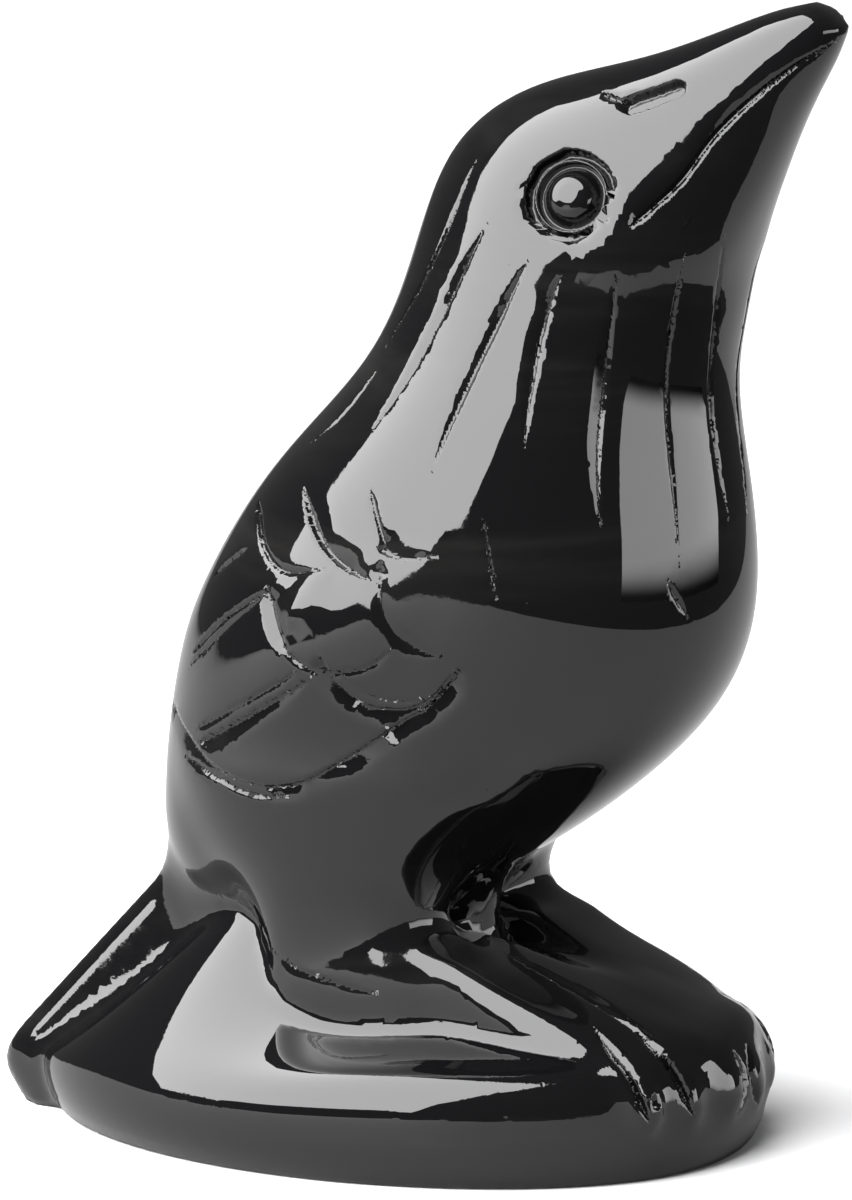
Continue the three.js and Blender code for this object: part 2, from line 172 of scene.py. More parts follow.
bird = {
    "sides": 48,
    "rings": 51,
    "tipRings": 5,
    "tipLength": 0.35,  # as a share of the last station's half depth
    "stations": [  # back line, front line, half width, squareness, how much fuller the back is
        (-7.5, 9.0, 3.6, 10.6, 4.5, 2.1, 0.0),
        (-9.5, 11.1, 6.8, 12.6, 6.8, 2.1, 0.0),
        (-9.8, 13.9, 10.0, 14.8, 8.7, 2.1, 0.02),
        (-9.4, 17.6, 13.7, 18.1, 10.0, 2.1, 0.05),
        (-8.6, 21.2, 15.7, 21.5, 10.5, 2.1, 0.1),
        (-7.6, 23.9, 16.2, 25.0, 10.6, 2.05, 0.1),
        (-5.4, 27.8, 15.9, 28.6, 9.8, 2.0, 0.08),
        (-2.9, 30.8, 15.5, 31.3, 8.8, 1.97, 0.05),
        (-0.5, 33.5, 15.4, 33.5, 7.9, 1.98, 0.04),
        (1.2, 36.7, 15.7, 35.4, 7.1, 2.05, 0.02),
        (2.5, 40.9, 15.9, 36.9, 6.6, 2.15, -0.05),
        (4.0, 43.4, 16.1, 37.9, 6.2, 2.2, -0.1),
        (6.4, 45.1, 16.4, 38.8, 5.6, 2.3, -0.1),
        (9.3, 46.0, 16.8, 39.9, 4.7, 2.3, -0.08),
        (12.3, 46.8, 17.7, 42.0, 3.7, 2.2, -0.05),
        (15.2, 47.9, 18.8, 44.5, 2.8, 2.15, 0.0),
        (17.5, 48.8, 20.0, 46.6, 2.0, 2.1, 0.0),
        (19.0, 49.17, 20.6, 48.0, 1.3, 2.1, 0.0),
    ],
}


def birdSkin():
    sections = []
    characters = []
    for row in softRows(bird["stations"], bird["rings"]):
        backF, backZ, frontF, frontZ, half, squareness, fullness = row
        centre = place((backF + frontF) / 2, 0, (backZ + frontZ) / 2)
        reach = math.hypot(frontF - backF, frontZ - backZ) / 2
        tilt = math.atan2(backZ - frontZ, frontF - backF)
        sections.append((centre, tilt, half, reach))
        characters.append((squareness, fullness))
    # the beak ends in a small round tip
    centre, tilt, wide, deep = sections[-1]
    onward = Vector((0, -math.sin(tilt), math.cos(tilt)))
    for step in range(1, bird["tipRings"]):
        angle = step / bird["tipRings"] * math.pi / 2
        shrink = math.cos(angle)
        advance = onward * deep * bird["tipLength"] * math.sin(angle)
        sections.append((centre + advance, tilt, wide * shrink, deep * shrink))
        characters.append(characters[-1])
    piece = growSkin("bird", bird["sides"], 2, sections, levels=0)
    # each round ring takes its own character: squarer at the head, fuller at the back of the body
    for index, corner in enumerate(piece.data.vertices):
        centre, tilt, wide, deep = sections[index // bird["sides"]]
        squareness, fullness = characters[index // bird["sides"]]
        frontward = Vector((0, -math.cos(tilt), -math.sin(tilt)))
        ahead = rounded((corner.co - centre).dot(frontward) / deep, squareness)
        aside = rounded(corner.co.x / wide, squareness)
        corner.co = centre + frontward * deep * ahead
        corner.co.x = wide * aside * (1 - fullness * ahead)
    subdivide(piece)
    return piece


tail = {
    "root": (-6.2, 11.1),
    "tip": (-17.0, 0.3),
    "rootHalf": 3.4,
    "tipHalf": 3.05,
    "rootThick": 2.6,
    "tipThick": 2.1,
    "squareness": 5.2,
    "flare": 0.22,  # how far its sides lean out towards the top
    "roundFrom": 0.9,  # the share of its length where the end begins to round off
    "roundBy": 0.55,
    "sides": 24,
    "rings": 10,
    "edge": [  # its near upper edge, across and up on the view
        (-10.8, -11.8), (-12.6, -13.9), (-14.6, -16.1), (-16.4, -18.1),
    ],
    "edgeSteps": 40,
}


def tailSkin():
    sections = []
    alongF = tail["tip"][0] - tail["root"][0]
    alongZ = tail["tip"][1] - tail["root"][1]
    tilt = math.atan2(alongF, alongZ)
    for step in range(tail["rings"] + 1):
        along = math.sin(step / tail["rings"] * math.pi / 2)
        ending = max((along - tail["roundFrom"]) / (1 - tail["roundFrom"]), 0)
        shrink = math.sqrt(1 - tail["roundBy"] * ending ** 2)
        half = (tail["rootHalf"] + (tail["tipHalf"] - tail["rootHalf"]) * along) * shrink
        thick = (tail["rootThick"] + (tail["tipThick"] - tail["rootThick"]) * along) * shrink
        centre = place(tail["root"][0] + alongF * along, 0, tail["root"][1] + alongZ * along)
        sections.append((centre, tilt, half, thick))
    piece = growSkin("tail", tail["sides"], tail["squareness"], sections, levels=0)
    for index, corner in enumerate(piece.data.vertices):
        centre, _, _, deep = sections[index // tail["sides"]]
        raised = (corner.co - centre).dot(Vector((0, math.cos(tilt), math.sin(tilt)))) / deep
        corner.co.x *= 1 + tail["flare"] * raised
    subdivide(piece)
    return piece


legs = {
    "sides": 20,
    "squareness": 2.3,
    "stations": [  # up, forward, side, half length, half width
        (4.0, 2.0, 5.2, 4.6, 2.9),
        (8.0, 1.0, 5.4, 4.1, 2.8),
        (10.5, 0.7, 5.5, 3.9, 2.7),
        (12.5, 0.7, 5.6, 4.2, 2.9),
        (14.5, 0.7, 5.6, 5.2, 3.4),
        (17.5, 1.0, 5.4, 7.0, 4.2),
    ],
    "web": [
        (5.0, -1.0, 0.0, 6.0, 2.6),
        (10.0, -0.8, 0.0, 5.7, 2.3),
        (14.5, -0.5, 0.0, 5.8, 2.8),
    ],
    "rump": [
        (5.0, -4.5, 0.0, 4.4, 4.4),
        (9.0, -4.2, 0.0, 3.8, 4.4),
        (12.0, -4.2, 0.0, 4.2, 5.0),
        (15.0, -3.8, 0.0, 4.8, 6.2),
    ],
}


def levelSkin(name, stations, hand=1):
    rows = softRows(stations, (len(stations) - 1) * 2)
    sections = [(place(f, side * hand, up), 0, wide, deep) for up, f, side, deep, wide in rows]
    return growSkin(name, legs["sides"], legs["squareness"], sections)


feet = {
    "sides": 24,
    "squareness": 4.2,
    "sole": 1.9,  # how much deeper a foot is below its widest part than above it
    "bend": 0.045,  # the toes fall back towards the outside
    "bendFrom": 5,
    "bendTo": 13,
    "endReach": 0.2,
    "endShrink": 0.7,
    "stations": [  # forward, side, half width, height of the widest part, crest
        (-2.4, 5.2, 2.0, 5.9, 7.6),
        (0.5, 5.2, 2.6, 6.8, 8.6),
        (4.6, 4.7, 2.9, 7.8, 9.7),
        (7.0, 4.2, 3.2, 7.1, 8.9),
        (9.4, 3.9, 3.45, 6.3, 8.1),
        (12.4, 3.7, 3.6, 5.4, 7.2),
        (14.6, 3.6, 3.4, 3.8, 5.9),
    ],
}


def footSkin(name, hand):
    rows = softRows(feet["stations"], (len(feet["stations"]) - 1) * 2)
    sections = []
    for forward, side, half, widest, crest in rows:
        sections.append((place(forward, side * hand, widest), math.pi / 2, half, crest - widest))
    forward, side, half, widest, crest = rows[-1]
    ending = place(forward + feet["endReach"], side * hand, widest)
    shrink = feet["endShrink"]
    sections.append((ending, math.pi / 2, half * shrink, (crest - widest) * shrink))
    piece = growSkin(name, feet["sides"], feet["squareness"], sections, levels=0)
    for index, corner in enumerate(piece.data.vertices):
        widest = sections[index // feet["sides"]][0].z
        if corner.co.z < widest:
            corner.co.z = widest - (widest - corner.co.z) * feet["sole"]
        bending = feet["bend"] * smoothStep(-corner.co.y, feet["bendFrom"], feet["bendTo"])
        corner.co.y += bending * corner.co.x ** 2
    subdivide(piece)
    return piece


toes = {
    "places": (1.4, 3.8, 5.9),  # side
    "sides": 12,
    "rings": 8,
    "endDrop": 0.5,
    "endShrink": 0.6,
    "line": [  # forward, up, radius
        (12.4, 4.3, 0.7),
        (13.9, 4.6, 1.2),
        (15.0, 4.1, 1.3),
        (15.7, 3.1, 1.2),
        (15.7, 2.4, 0.9),
    ],
}


def toeSkin(name, side):
    rows = softRows(toes["line"], toes["rings"])
    sections = []
    for index, (forward, up, radius) in enumerate(rows):
        before, after = rows[max(index - 1, 0)], rows[min(index + 1, len(rows) - 1)]
        tilt = math.atan2(after[0] - before[0], after[1] - before[1])
        sections.append((place(forward - feet["bend"] * side ** 2, side, up), tilt, radius, radius))
    centre, tilt, wide, deep = sections[-1]
    ending = centre - Vector((0, 0, toes["endDrop"]))
    sections.append((ending, tilt, wide * toes["endShrink"], deep * toes["endShrink"]))
    return growSkin(name, toes["sides"], 2, sections)


mound = {
    "middle": 1.6,
    "front": 14.9,
    "rear": 17.9,
    "half": 11.9,
    "squareness": 1.95,
    "squarer": 0.2,  # added at the front and taken off at the rear
    "rim": 2.4,
    "lipRound": 34,  # the higher, the tighter the lip
    "turns": 90,  # places round one side where its shape is worked out
    "rises": [  # from front round to rear: the rim's lip, the rise from there to the middle, its fullness
        (3.41, 3.1, 1.57), (3.13, 2.77, 1.85), (2.36, 2.45, 1.99), (2.17, 2.92, 1.92), (1.88, 5.08, 0.87),
        (1.14, 10.52, 1.19), (1.38, 13.47, 1.2), (0.12, 12.54, 0.95), (0.0, 11.34, 0.73),
    ],
    "sides": 48,
    "edge": [(-1.0, 2.0), (0.0, 0.9), (0.4, 0.5), (1.2, 0.15), (2.0, 0.0)],  # up, inset
    "hill": (  # how far out each ring lies, as a share of the outline
        0.997, 0.99, 0.978, 0.96, 0.935, 0.9, 0.85, 0.78, 0.68, 0.55, 0.36, 0.12,
    ),
}


def moundPlace(angle, scale, inset):
    squareness = mound["squareness"] + mound["squarer"] * math.cos(angle)
    ahead = rounded(math.cos(angle), squareness)
    across = rounded(math.sin(angle), squareness)
    length = (mound["front"] if ahead > 0 else mound["rear"]) - inset
    return mound["middle"] + ahead * length * scale, across * (mound["half"] - inset) * scale


risesRound = softRows(mound["rises"], mound["turns"])


# A tight lip at the rim, then flatter beside the legs and steep up to the peak under the tail
def hillHeight(angle, scale):
    turn = abs(angle) / math.pi * mound["turns"]
    step = min(int(turn), mound["turns"] - 1)
    lip, rise, fullness = risesRound[step] + (risesRound[step + 1] - risesRound[step]) * (turn - step)
    lip = max(lip, 0) * math.sqrt(1 - scale ** mound["lipRound"])
    return mound["rim"] + lip + rise * (1 - scale ** fullness)


# The mound starts as a stack of level rings, then each ring is drawn out to its egg outline
def moundSkin():
    levels = [("edge", up, inset) for up, inset in mound["edge"]]
    levels += [("hill", scale, 0) for scale in mound["hill"]]
    sections = [(Vector((0, 0, index)), 0, 1, 1) for index in range(len(levels))]
    piece = growSkin("mound", mound["sides"], 2, sections, levels=0)
    for corner in piece.data.vertices:
        kind, first, inset = levels[round(corner.co.z)]
        angle = math.atan2(-corner.co.x, -corner.co.y)
        scale = first if kind == "hill" else 1
        forward, side = moundPlace(angle, scale, inset)
        up = hillHeight(angle, scale) if kind == "hill" else first
        corner.co = place(forward, side, up)
    subdivide(piece, 3)
    return piece


skins = {
    "bird": birdSkin(),
    "tail": tailSkin(),
    "web": levelSkin("web", legs["web"]),
    "rump": levelSkin("rump", legs["rump"]),
    "mound": moundSkin(),
}
for hand, sideName in ((1, "right"), (-1, "left")):
    skins["leg" + sideName] = levelSkin("leg" + sideName, legs["stations"], hand)
    skins["foot" + sideName] = footSkin("foot" + sideName, hand)
    for index, side in enumerate(toes["places"]):
        skins["toe" + sideName + str(index)] = toeSkin("toe" + sideName + str(index), side * hand)
print("stock forms:", len(skins))


# Every form as a search tree, for how far a point is from its skin
trees = {}
for name, piece in skins.items():
    corners = coordinates(piece)
    trees[name] = (meshTree(piece), corners.min(0), corners.max(0))

blends = {  # how softly the forms run into each other
    "ankle": 1.4,
    "toe": 0.45,
    "thigh": 2.6,
    "web": 1.0,
    "rump": 1.6,
    "mound": 0.35,
    "moundTail": 0.6,  # under the tail
    "moundTailFrom": 4,
    "moundTailTo": 7,
    "tail": 1.8,
    "ground": 0.12,
    "search": 3.5,
}


# Distance from a point to one form, below 0 inside it. Far off, the gap to its box is near enough.
def distanceTo(name, point):
    tree, low, high = trees[name]
    gap = max(max(low[i] - point[i], point[i] - high[i]) for i in range(3))
    if gap > blends["search"]:
        return gap, None
    spot, normal, _, distance = tree.find_nearest(point)
    if (point - spot).dot(normal) < 0:
        distance = -distance
    return distance, normal


# Two forms as one, with a soft hollow about as wide as the reach where they meet
def blend(first, second, reach):
    if second[1] is None:
        return first
    if first[1] is None:
        return second
    share = min(max(0.5 + 0.5 * (second[0] - first[0]) / reach, 0), 1)
    distance = second[0] + (first[0] - second[0]) * share - reach * share * (1 - share)
    return distance, second[1].lerp(first[1], share)


# Distance from a point to the whole uncut carving, below 0 inside it, and the way outward there
def carvingField(point):
    whole = distanceTo("bird", point)
    for sideName in ("right", "left"):
        limb = distanceTo("leg" + sideName, point)
        limb = blend(limb, distanceTo("foot" + sideName, point), blends["ankle"])
        for index in range(len(toes["places"])):
            limb = blend(limb, distanceTo("toe" + sideName + str(index), point), blends["toe"])
        whole = blend(whole, limb, blends["thigh"])
    whole = blend(whole, distanceTo("web", point), blends["web"])
    whole = blend(whole, distanceTo("rump", point), blends["rump"])
    whole = blend(whole, distanceTo("tail", point), blends["tail"])
    behind = smoothStep(point.y, blends["moundTailFrom"], blends["moundTailTo"])
    hollow = blends["mound"] + (blends["moundTail"] - blends["mound"]) * behind
    whole = blend(whole, distanceTo("mound", point), hollow)
    inward = (-whole[0], whole[1] and -whole[1])
    inside, onward = blend(inward, (point.z, Vector((0, 0, 1))), blends["ground"])
    return -inside, -onward


stock = {"grain": 0.5, "ease": 0.5, "easeRounds": 6, "stride": 0.5}


# The points moved onto the uncut carving, and the way outward at each
def settle(points, passes=2):
    places, normals = [], []
    for point in points:
        point = Vector(point)
        for _ in range(passes):
            distance, outward = carvingField(point)
            outward.normalize()
            point = point - outward * max(min(distance, stock["stride"]), -stock["stride"])
        places.append(point)
        normals.append(outward)
    return np.array(places), np.array(normals)


# The forms become one block of stone
selectNothing()
for piece in skins.values():
    piece.select_set(True)
raven = skins["bird"]
bpy.context.view_layer.objects.active = raven
bpy.ops.object.join()
raven.name = "raven"
raven.data.remesh_voxel_size = stock["grain"]
bpy.ops.object.voxel_remesh()
print("one block:", len(raven.data.polygons), "faces")

settled, _ = settle(coordinates(raven))
moveTo(raven, settled)
useModifier(raven, "SMOOTH", factor=stock["ease"], iterations=stock["easeRounds"])
settled, _ = settle(coordinates(raven))
moveTo(raven, settled)
print("settled")

# From square on to the right side, the view is turned towards the front and raised
view = {
    "turn": 25,
    "tilt": 9.5,
    "distance": 400,
    "target": (1.284, -0.599, 22.86),
    "lens": 282,
    "sensor": 36,
    "nearest": 0.01,
}
viewTurn, viewTilt = math.radians(view["turn"]), math.radians(view["tilt"])
levelReach = math.cos(viewTilt)
toEye = place(math.sin(viewTurn) * levelReach, math.cos(viewTurn) * levelReach, math.sin(viewTilt))
rightward = place(math.cos(viewTurn), -math.sin(viewTurn), 0)
upward = toEye.cross(rightward)


# Strokes are laid out on the view: across and up in mm from its middle
def spotsOn(surface, path):
    eye = place(*view["target"]) + toEye * view["distance"]
    spots = []
    for across, up in path:
        aim = place(*view["target"]) + rightward * across + upward * up
        spot = surface.ray_cast(eye, aim - eye)[0]
        if spot is not None:
            spots.append(spot)
    return settle(spots)


# A cut is a V along its path. Left and right are the widths of its two walls, seen in the direction of
# travel. Curl above 1 hollows the left wall, and none makes the cut a soft swelling. Ragged is how far
# its edges wander. Start and end are the shares of its length over which it grows and dies away.
cutKinds = {
    # left, right, deep, curl, ragged, start, end
    "neck": (0.2, 0.46, 0.19, 1, 0.04, 0.3, 0.35),
    "hair": (0.14, 0.2, 0.12, 1, 0.04, 0.25, 0.35),
    "mouth": (0.55, 0.13, 0.32, 1, 0.03, 0.05, 0.5),
    "lip": (1.05, 0.15, 0.27, 1.25, 0.02, 0.25, 0.2),
    "scale": (1.3, 0.45, 0.3, 2, 0.02, 0.2, 0.25),
    "shade": (0.1, 0.8, 0.15, 1, 0.03, 0.1, 0.3),
    "edge": (0.12, 0.8, 0.15, 1, 0.05, 0.06, 0.1),
    "scarp": (0.5, 0.2, 0.19, 2, 0.02, 0.2, 0.25),
    "fold": (0.4, 0.64, 0.15, 1, 0.02, 0.1, 0.3),
    "line": (0.1, 0.3, 0.055, 1, 0.03, 0.15, 0.2),
    "ridge": (1.6, 1.0, -0.15, None, 0, 0.25, 0.3),
    "bevel": (1.2, 0.14, 0.19, 1, 0.02, 0.03, 0.9),
    "vein": (0.14, 0.14, 0.14, 1, 0.03, 0.15, 0.2),
    "swell": (4.2, 3.6, -0.25, None, 0, 0.4, 0.5),
    "crest": (0.55, 0.12, 0.34, 1, 0.02, 0.4, 0.4),
    "toe": (0.3, 0.3, 0.4, 1, 0.03, 0.3, 0.2),
}

# A stroke may be scaled in size and depth, and once leaves the bird's left side without it
def cutAlong(kind, path, size=1, depth=None, once=False):
    return {"kind": kind, "path": path, "size": size, "depth": depth or size, "once": once}


strokes = [
    # the wing stands out a little
    cutAlong("swell", [(1.0, 3.4), (-1.1, 0.9), (-3.7, -1.7), (-7.1, -3.8), (-10.9, -5.1)]),
    # mouth
    cutAlong("mouth", [
        (8.6, 15.8), (10.6, 17.5), (11.4, 18.5), (12.2, 19.6), (13.4, 20.8), (15.6, 22.6), (17.7, 23.9),
    ]),
    # nape and neck
    cutAlong("hair", [(2.1, 18.7), (0.8, 15.5), (-0.3, 13.2), (-1.7, 10.8)], once=True),
    cutAlong("hair", [(-2.0, 9.9), (-3.5, 7.9), (-4.9, 6.7)]),
    cutAlong("neck", [(2.6, 16.0), (1.1, 13.1), (-0.6, 9.7), (-2.5, 6.9)]),
    cutAlong("neck", [(4.3, 14.4), (3.1, 11.9), (1.5, 8.6), (0.2, 5.4)]),
    cutAlong("neck", [(5.8, 14.0), (4.9, 11.5), (4.3, 7.7), (4.2, 6.5)]),
    cutAlong("neck", [(8.1, 13.7), (7.6, 9.4), (7.3, 6.0), (7.4, 3.1)]),
    cutAlong("hair", [(11.0, 14.7), (10.3, 10.6), (10.3, 7.7), (10.6, 4.3), (10.8, 1.5)]),
    cutAlong("hair", [(12.7, 15.5), (12.3, 11.5), (12.1, 8.1), (12.9, 3.3)]),
    cutAlong("hair", [(10.3, 0.8), (11.1, -0.7)]),
    cutAlong("hair", [(2.4, 3.5), (3.0, 0.0)], size=0.6),
    # shoulder feathers
    cutAlong("scarp", [(-7.15, 4.26), (-7.11, 2.98), (-6.77, 1.87), (-5.87, 1.15), (-4.3, 1.32)]),
    cutAlong("ridge", [(-4.0, 1.19), (-4.85, 0.51), (-5.4, -0.26), (-5.83, -1.36)]),
    cutAlong("lip", [
        (-5.23, 4.85), (-5.02, 3.74), (-4.64, 2.72), (-3.96, 1.79), (-3.06, 1.15), (-2.13, 0.72),
    ]),
    cutAlong("vein", [(-2.34, 4.68), (-2.17, 3.74), (-1.91, 2.85), (-1.7, 1.87)], size=1.1, depth=0.95),
    cutAlong("bevel", [(-2.04, 2.17), (-1.45, 1.87), (-0.6, 1.7), (0.51, 1.83)]),
    # covert feathers
    cutAlong("scale", [
        (-6.77, 0.6), (-6.72, -0.09), (-6.51, -0.94), (-6.13, -1.79), (-5.74, -2.26),
    ], size=0.9, depth=0.95),
    cutAlong("line", [
        (-6.04, -1.96), (-5.36, -2.51), (-4.6, -2.89), (-3.66, -3.02), (-2.72, -2.89), (-2.0, -2.55),
        (-1.32, -1.91),
    ], depth=1.6),
    cutAlong("fold", [
        (-1.87, 1.7), (-1.96, 0.85), (-1.87, -0.09), (-1.53, -1.02), (-0.85, -1.79), (0.6, -2.43),
    ]),
    cutAlong("shade", [
        (-4.43, -2.34), (-3.91, -3.36), (-3.06, -4.21), (-2.17, -4.6), (-1.19, -4.72), (-0.34, -4.55),
        (0.34, -4.09), (0.85, -3.45), (1.45, -2.81),
    ], depth=1.75),
    cutAlong("shade", [(-4.43, -2.34), (-3.91, -3.36), (-3.06, -4.21), (-2.0, -4.65)], depth=2.1),
    cutAlong("line", [
        (-4.09, -2.55), (-3.15, -3.57), (-2.04, -4.17), (-0.94, -4.34), (-0.09, -4.17),
    ], size=0.8),
    # long wing feathers
    cutAlong("vein", [(-6.72, 0.43), (-7.91, -0.3), (-9.11, -1.28), (-9.96, -2.3)]),
    cutAlong("shade", [(-6.81, 0.21), (-8.43, -1.11), (-10.09, -2.89)], size=0.65, depth=1.25),
    cutAlong("vein", [(-7.62, 2.21), (-8.43, 1.62), (-9.06, 0.98)], size=1.2),
    cutAlong("line", [(-9.83, -5.53), (-7.4, -4.17), (-5.11, -2.85)], depth=1.6),
    cutAlong("shade", [(-9.66, -6.04), (-7.23, -4.77), (-4.68, -3.15)], size=0.75, depth=1.5),
    # lower edge of the wing
    cutAlong("edge", [
        (-10.81, -4.26), (-10.34, -5.32), (-9.83, -6.17), (-9.06, -7.11), (-7.45, -7.87), (-5.74, -7.91),
        (-4.64, -7.45), (-2.81, -6.43), (-1.02, -5.23), (0.09, -4.64), (0.89, -3.74), (1.53, -2.89),
    ]),
    cutAlong("shade", [(-6.98, -8.0), (-5.74, -7.96), (-4.85, -7.57)], depth=1.8),
    cutAlong("shade", [(-1.96, -5.87), (-1.02, -5.23), (0.09, -4.64), (0.89, -3.74)], depth=2.3),
    cutAlong("shade", [(-0.26, -4.81), (0.43, -4.26), (0.89, -3.74), (1.53, -2.89)], depth=2.4),
    cutAlong("vein", [(-10.21, -6.68), (-9.02, -7.53), (-7.45, -8.3), (-6.0, -8.43)], size=1.3),
    # leg and toes
    cutAlong("line", [
        (-6.55, -14.89), (-5.79, -15.49), (-5.02, -15.87), (-3.66, -16.34), (-2.04, -16.77),
    ], depth=0.7),
    cutAlong("crest", [
        (3.32, -15.02), (5.28, -16.09), (7.36, -17.28), (9.11, -18.47), (10.51, -19.66),
    ], once=True),
    cutAlong("toe", [(7.11, -18.17), (8.13, -19.49), (8.85, -20.43), (9.53, -22.34)]),
    cutAlong("toe", [(8.85, -18.3), (10.55, -19.91), (11.36, -21.96)]),
    cutAlong("toe", [(13.62, -18.81), (13.91, -20.09), (14.13, -21.45)], size=0.8),
    cutAlong("toe", [(14.64, -18.51), (14.89, -19.74), (14.98, -20.94)], size=0.8),
    # nick beside the nostril
    cutAlong("vein", [(7.57, 21.62), (7.91, 21.4), (8.43, 21.32)], size=1.6),
]

carving = {
    "step": 0.05,  # between the sampled places of a stroke
    "fewest": 8,
    "growing": 0.7,  # below 1, a stroke swells fast at its start and closes late at its end
    "closing": 0.8,
    "pitches": (1.5, 4, 9),  # of the wander along its edges, from long waves to chips
    "edgeApart": 9,
    "leastWall": 0.02,
    "margin": 0.3,
    "snap": 0.04,
    "fullCut": 0.12,  # the depth from which a cut shows its ground stone
    "groundWidth": 0.11,
    "seed": 7,
    "everyFew": 3,  # of a stroke's places are enough to find the faces beside it
    "rounds": [  # of finer mesh: share of a stroke's width, reach beyond it, reach about the tail's edge
        (0.5, 0.4, 0.6),
        (0.35, 0.14, 0.35),
        (0, 0.09, 0),
    ],
}


# How far a ragged edge strays, from -1 to 1 and a little more, at each place along it
def straying(along, seed, edge):
    stray = []
    for a in along:
        spots = [Vector((a * pitch, seed, edge * carving["edgeApart"])) for pitch in carving["pitches"]]
        waves = [noise.noise(spot) / pitch ** 0.5 for spot, pitch in zip(spots, carving["pitches"])]
        stray.append(sum(waves))
    return np.array(stray)


# A stroke as close-set places on the stone, with its direction, widths and depth at each
def sampled(stroke, surface):
    left, right, deep, curl, ragged, start, end = cutKinds[stroke["kind"]]
    length = np.linalg.norm(np.diff(np.array(stroke["path"], float), axis=0), axis=1).sum()
    rows = softRows(stroke["path"], max(int(length / carving["step"]), carving["fewest"]))
    places, normals = spotsOn(surface, rows)
    onward = np.gradient(places, axis=0)
    onward /= np.linalg.norm(onward, axis=1)[:, None]
    gaps = np.linalg.norm(np.diff(places, axis=0), axis=1)
    along = np.concatenate([[0], np.cumsum(gaps)])
    share = along / along[-1]
    opened = np.clip(share / start, 0, 1) ** carving["growing"]
    closed = np.clip((1 - share) / end, 0, 1) ** carving["closing"]
    grown = opened * closed
    size = stroke["size"]
    seed = random.uniform(0, 100)
    shaky = ragged * np.minimum(grown * 2, 1)
    leftWall = left * size * grown + straying(along, seed, 0) * shaky
    rightWall = right * size * grown + straying(along, seed, 1) * shaky
    return {
        "places": places,
        "onward": onward,
        "leftward": np.cross(normals, onward),
        "gap": along[-1] / (len(along) - 1),
        "left": np.maximum(leftWall, carving["leastWall"]),
        "right": np.maximum(rightWall, carving["leastWall"]),
        "deep": deep * stroke["depth"] * grown,
        "curl": curl,
        "once": stroke["once"],
    }


# Where the points lie on a stroke: which sample, and how far to its left
def whereOn(line, points):
    reach = max(line["left"].max(), line["right"].max()) + carving["margin"]
    low = line["places"].min(0) - reach
    high = line["places"].max(0) + reach
    near = np.flatnonzero(((points > low) & (points < high)).all(1))
    if not len(near):
        return near, near, np.zeros(0)
    tree = KDTree(len(line["places"]))
    for index, spot in enumerate(line["places"]):
        tree.insert(spot, index)
    tree.balance()
    nearest = np.array([tree.find(points[i])[1] for i in near])
    offset = points[near] - line["places"][nearest]
    ahead = (offset * line["onward"][nearest]).sum(1)
    aside = (offset * line["leftward"][nearest]).sum(1)
    close = (np.abs(ahead) < line["gap"] * 2) & (np.linalg.norm(offset, axis=1) < reach)
    return near[close], nearest[close], aside[close]


def cutDepth(line, nearest, aside):
    left, right, deep = line["left"][nearest], line["right"][nearest], line["deep"][nearest]
    share = np.clip(np.where(aside > 0, 1 - aside / left, 1 + aside / right), 0, 1)
    if line["curl"] is None:
        return deep * share * share * (3 - 2 * share)
    return deep * share ** np.where(aside > 0, line["curl"], 1)


eyeShape = {
    "at": (6.04, 17.3),
    "reach": 1.96,
    "margin": 0.2,
    "ragged": 0.06,
    "raggedFrom": 1.6,  # the inner rings are clean, the outer rim is chipped
    "raggedOver": 0.2,
    "chips": [  # pitch round the rim, seed, share
        (3, 5, 1),
        (9, 2, 0.6),
    ],
    "profile": [  # distance from the middle, how far it lies below the head
        (0.0, -0.06), (0.4, -0.02), (0.72, 0.08), (0.92, 0.24), (1.1, 0.5),
        (1.25, 0.74), (1.36, 0.78), (1.44, 0.5), (1.5, 0.3), (1.54, 0.3),
        (1.6, 0.62), (1.7, 0.78), (1.84, 0.74), (1.9, 0.35), (1.96, 0.0),
    ],
}

nostril = {
    "from": (8.7, 21.1),
    "to": (10.55, 21.75),
    "half": 0.5,
    "deep": 0.5,
    "wall": 0.16,
    "ragged": 0.1,
    "chips": [  # pitch, share
        (2.5, 1),
        (7, 0.5),
    ],
    "reach": 2.5,
    "spots": 5,
}


def eyeDepth(radius, angle):
    wander = np.zeros(len(angle))
    for pitch, seed, share in eyeShape["chips"]:
        spots = [Vector((math.cos(a) * pitch, math.sin(a) * pitch, seed)) for a in angle]
        wander += np.array([noise.noise(spot) for spot in spots]) * share
    outer = np.clip((radius - eyeShape["raggedFrom"]) / eyeShape["raggedOver"], 0, 1)
    profile = np.array(eyeShape["profile"])
    shifted = radius - outer * wander * eyeShape["ragged"]
    return np.interp(shifted, profile[:, 0], profile[:, 1], right=0)


def slotDepth(points, ends, normal):
    start, finish = ends
    run = finish - start
    share = np.clip(((points - start) @ run) / (run @ run), 0, 1)
    away = points - start - share[:, None] * run
    away -= (away @ normal)[:, None] * normal
    radius = np.linalg.norm(away, axis=1)
    wander = np.zeros(len(points))
    for pitch, part in nostril["chips"]:
        wander += np.array([noise.noise(Vector(point) * pitch) for point in points]) * part
    inside = nostril["half"] + wander * nostril["ragged"] - radius
    return np.clip(inside / nostril["wall"], 0, 1) * nostril["deep"]


surface = meshTree(raven)
random.seed(carving["seed"])
lines = [sampled(stroke, surface) for stroke in strokes]
eyeSpots, eyeOut = spotsOn(surface, [eyeShape["at"]])
slotEnds, slotOut = spotsOn(surface, [nostril["from"], nostril["to"]])
slotOut = slotOut.mean(0) / np.linalg.norm(slotOut.mean(0))


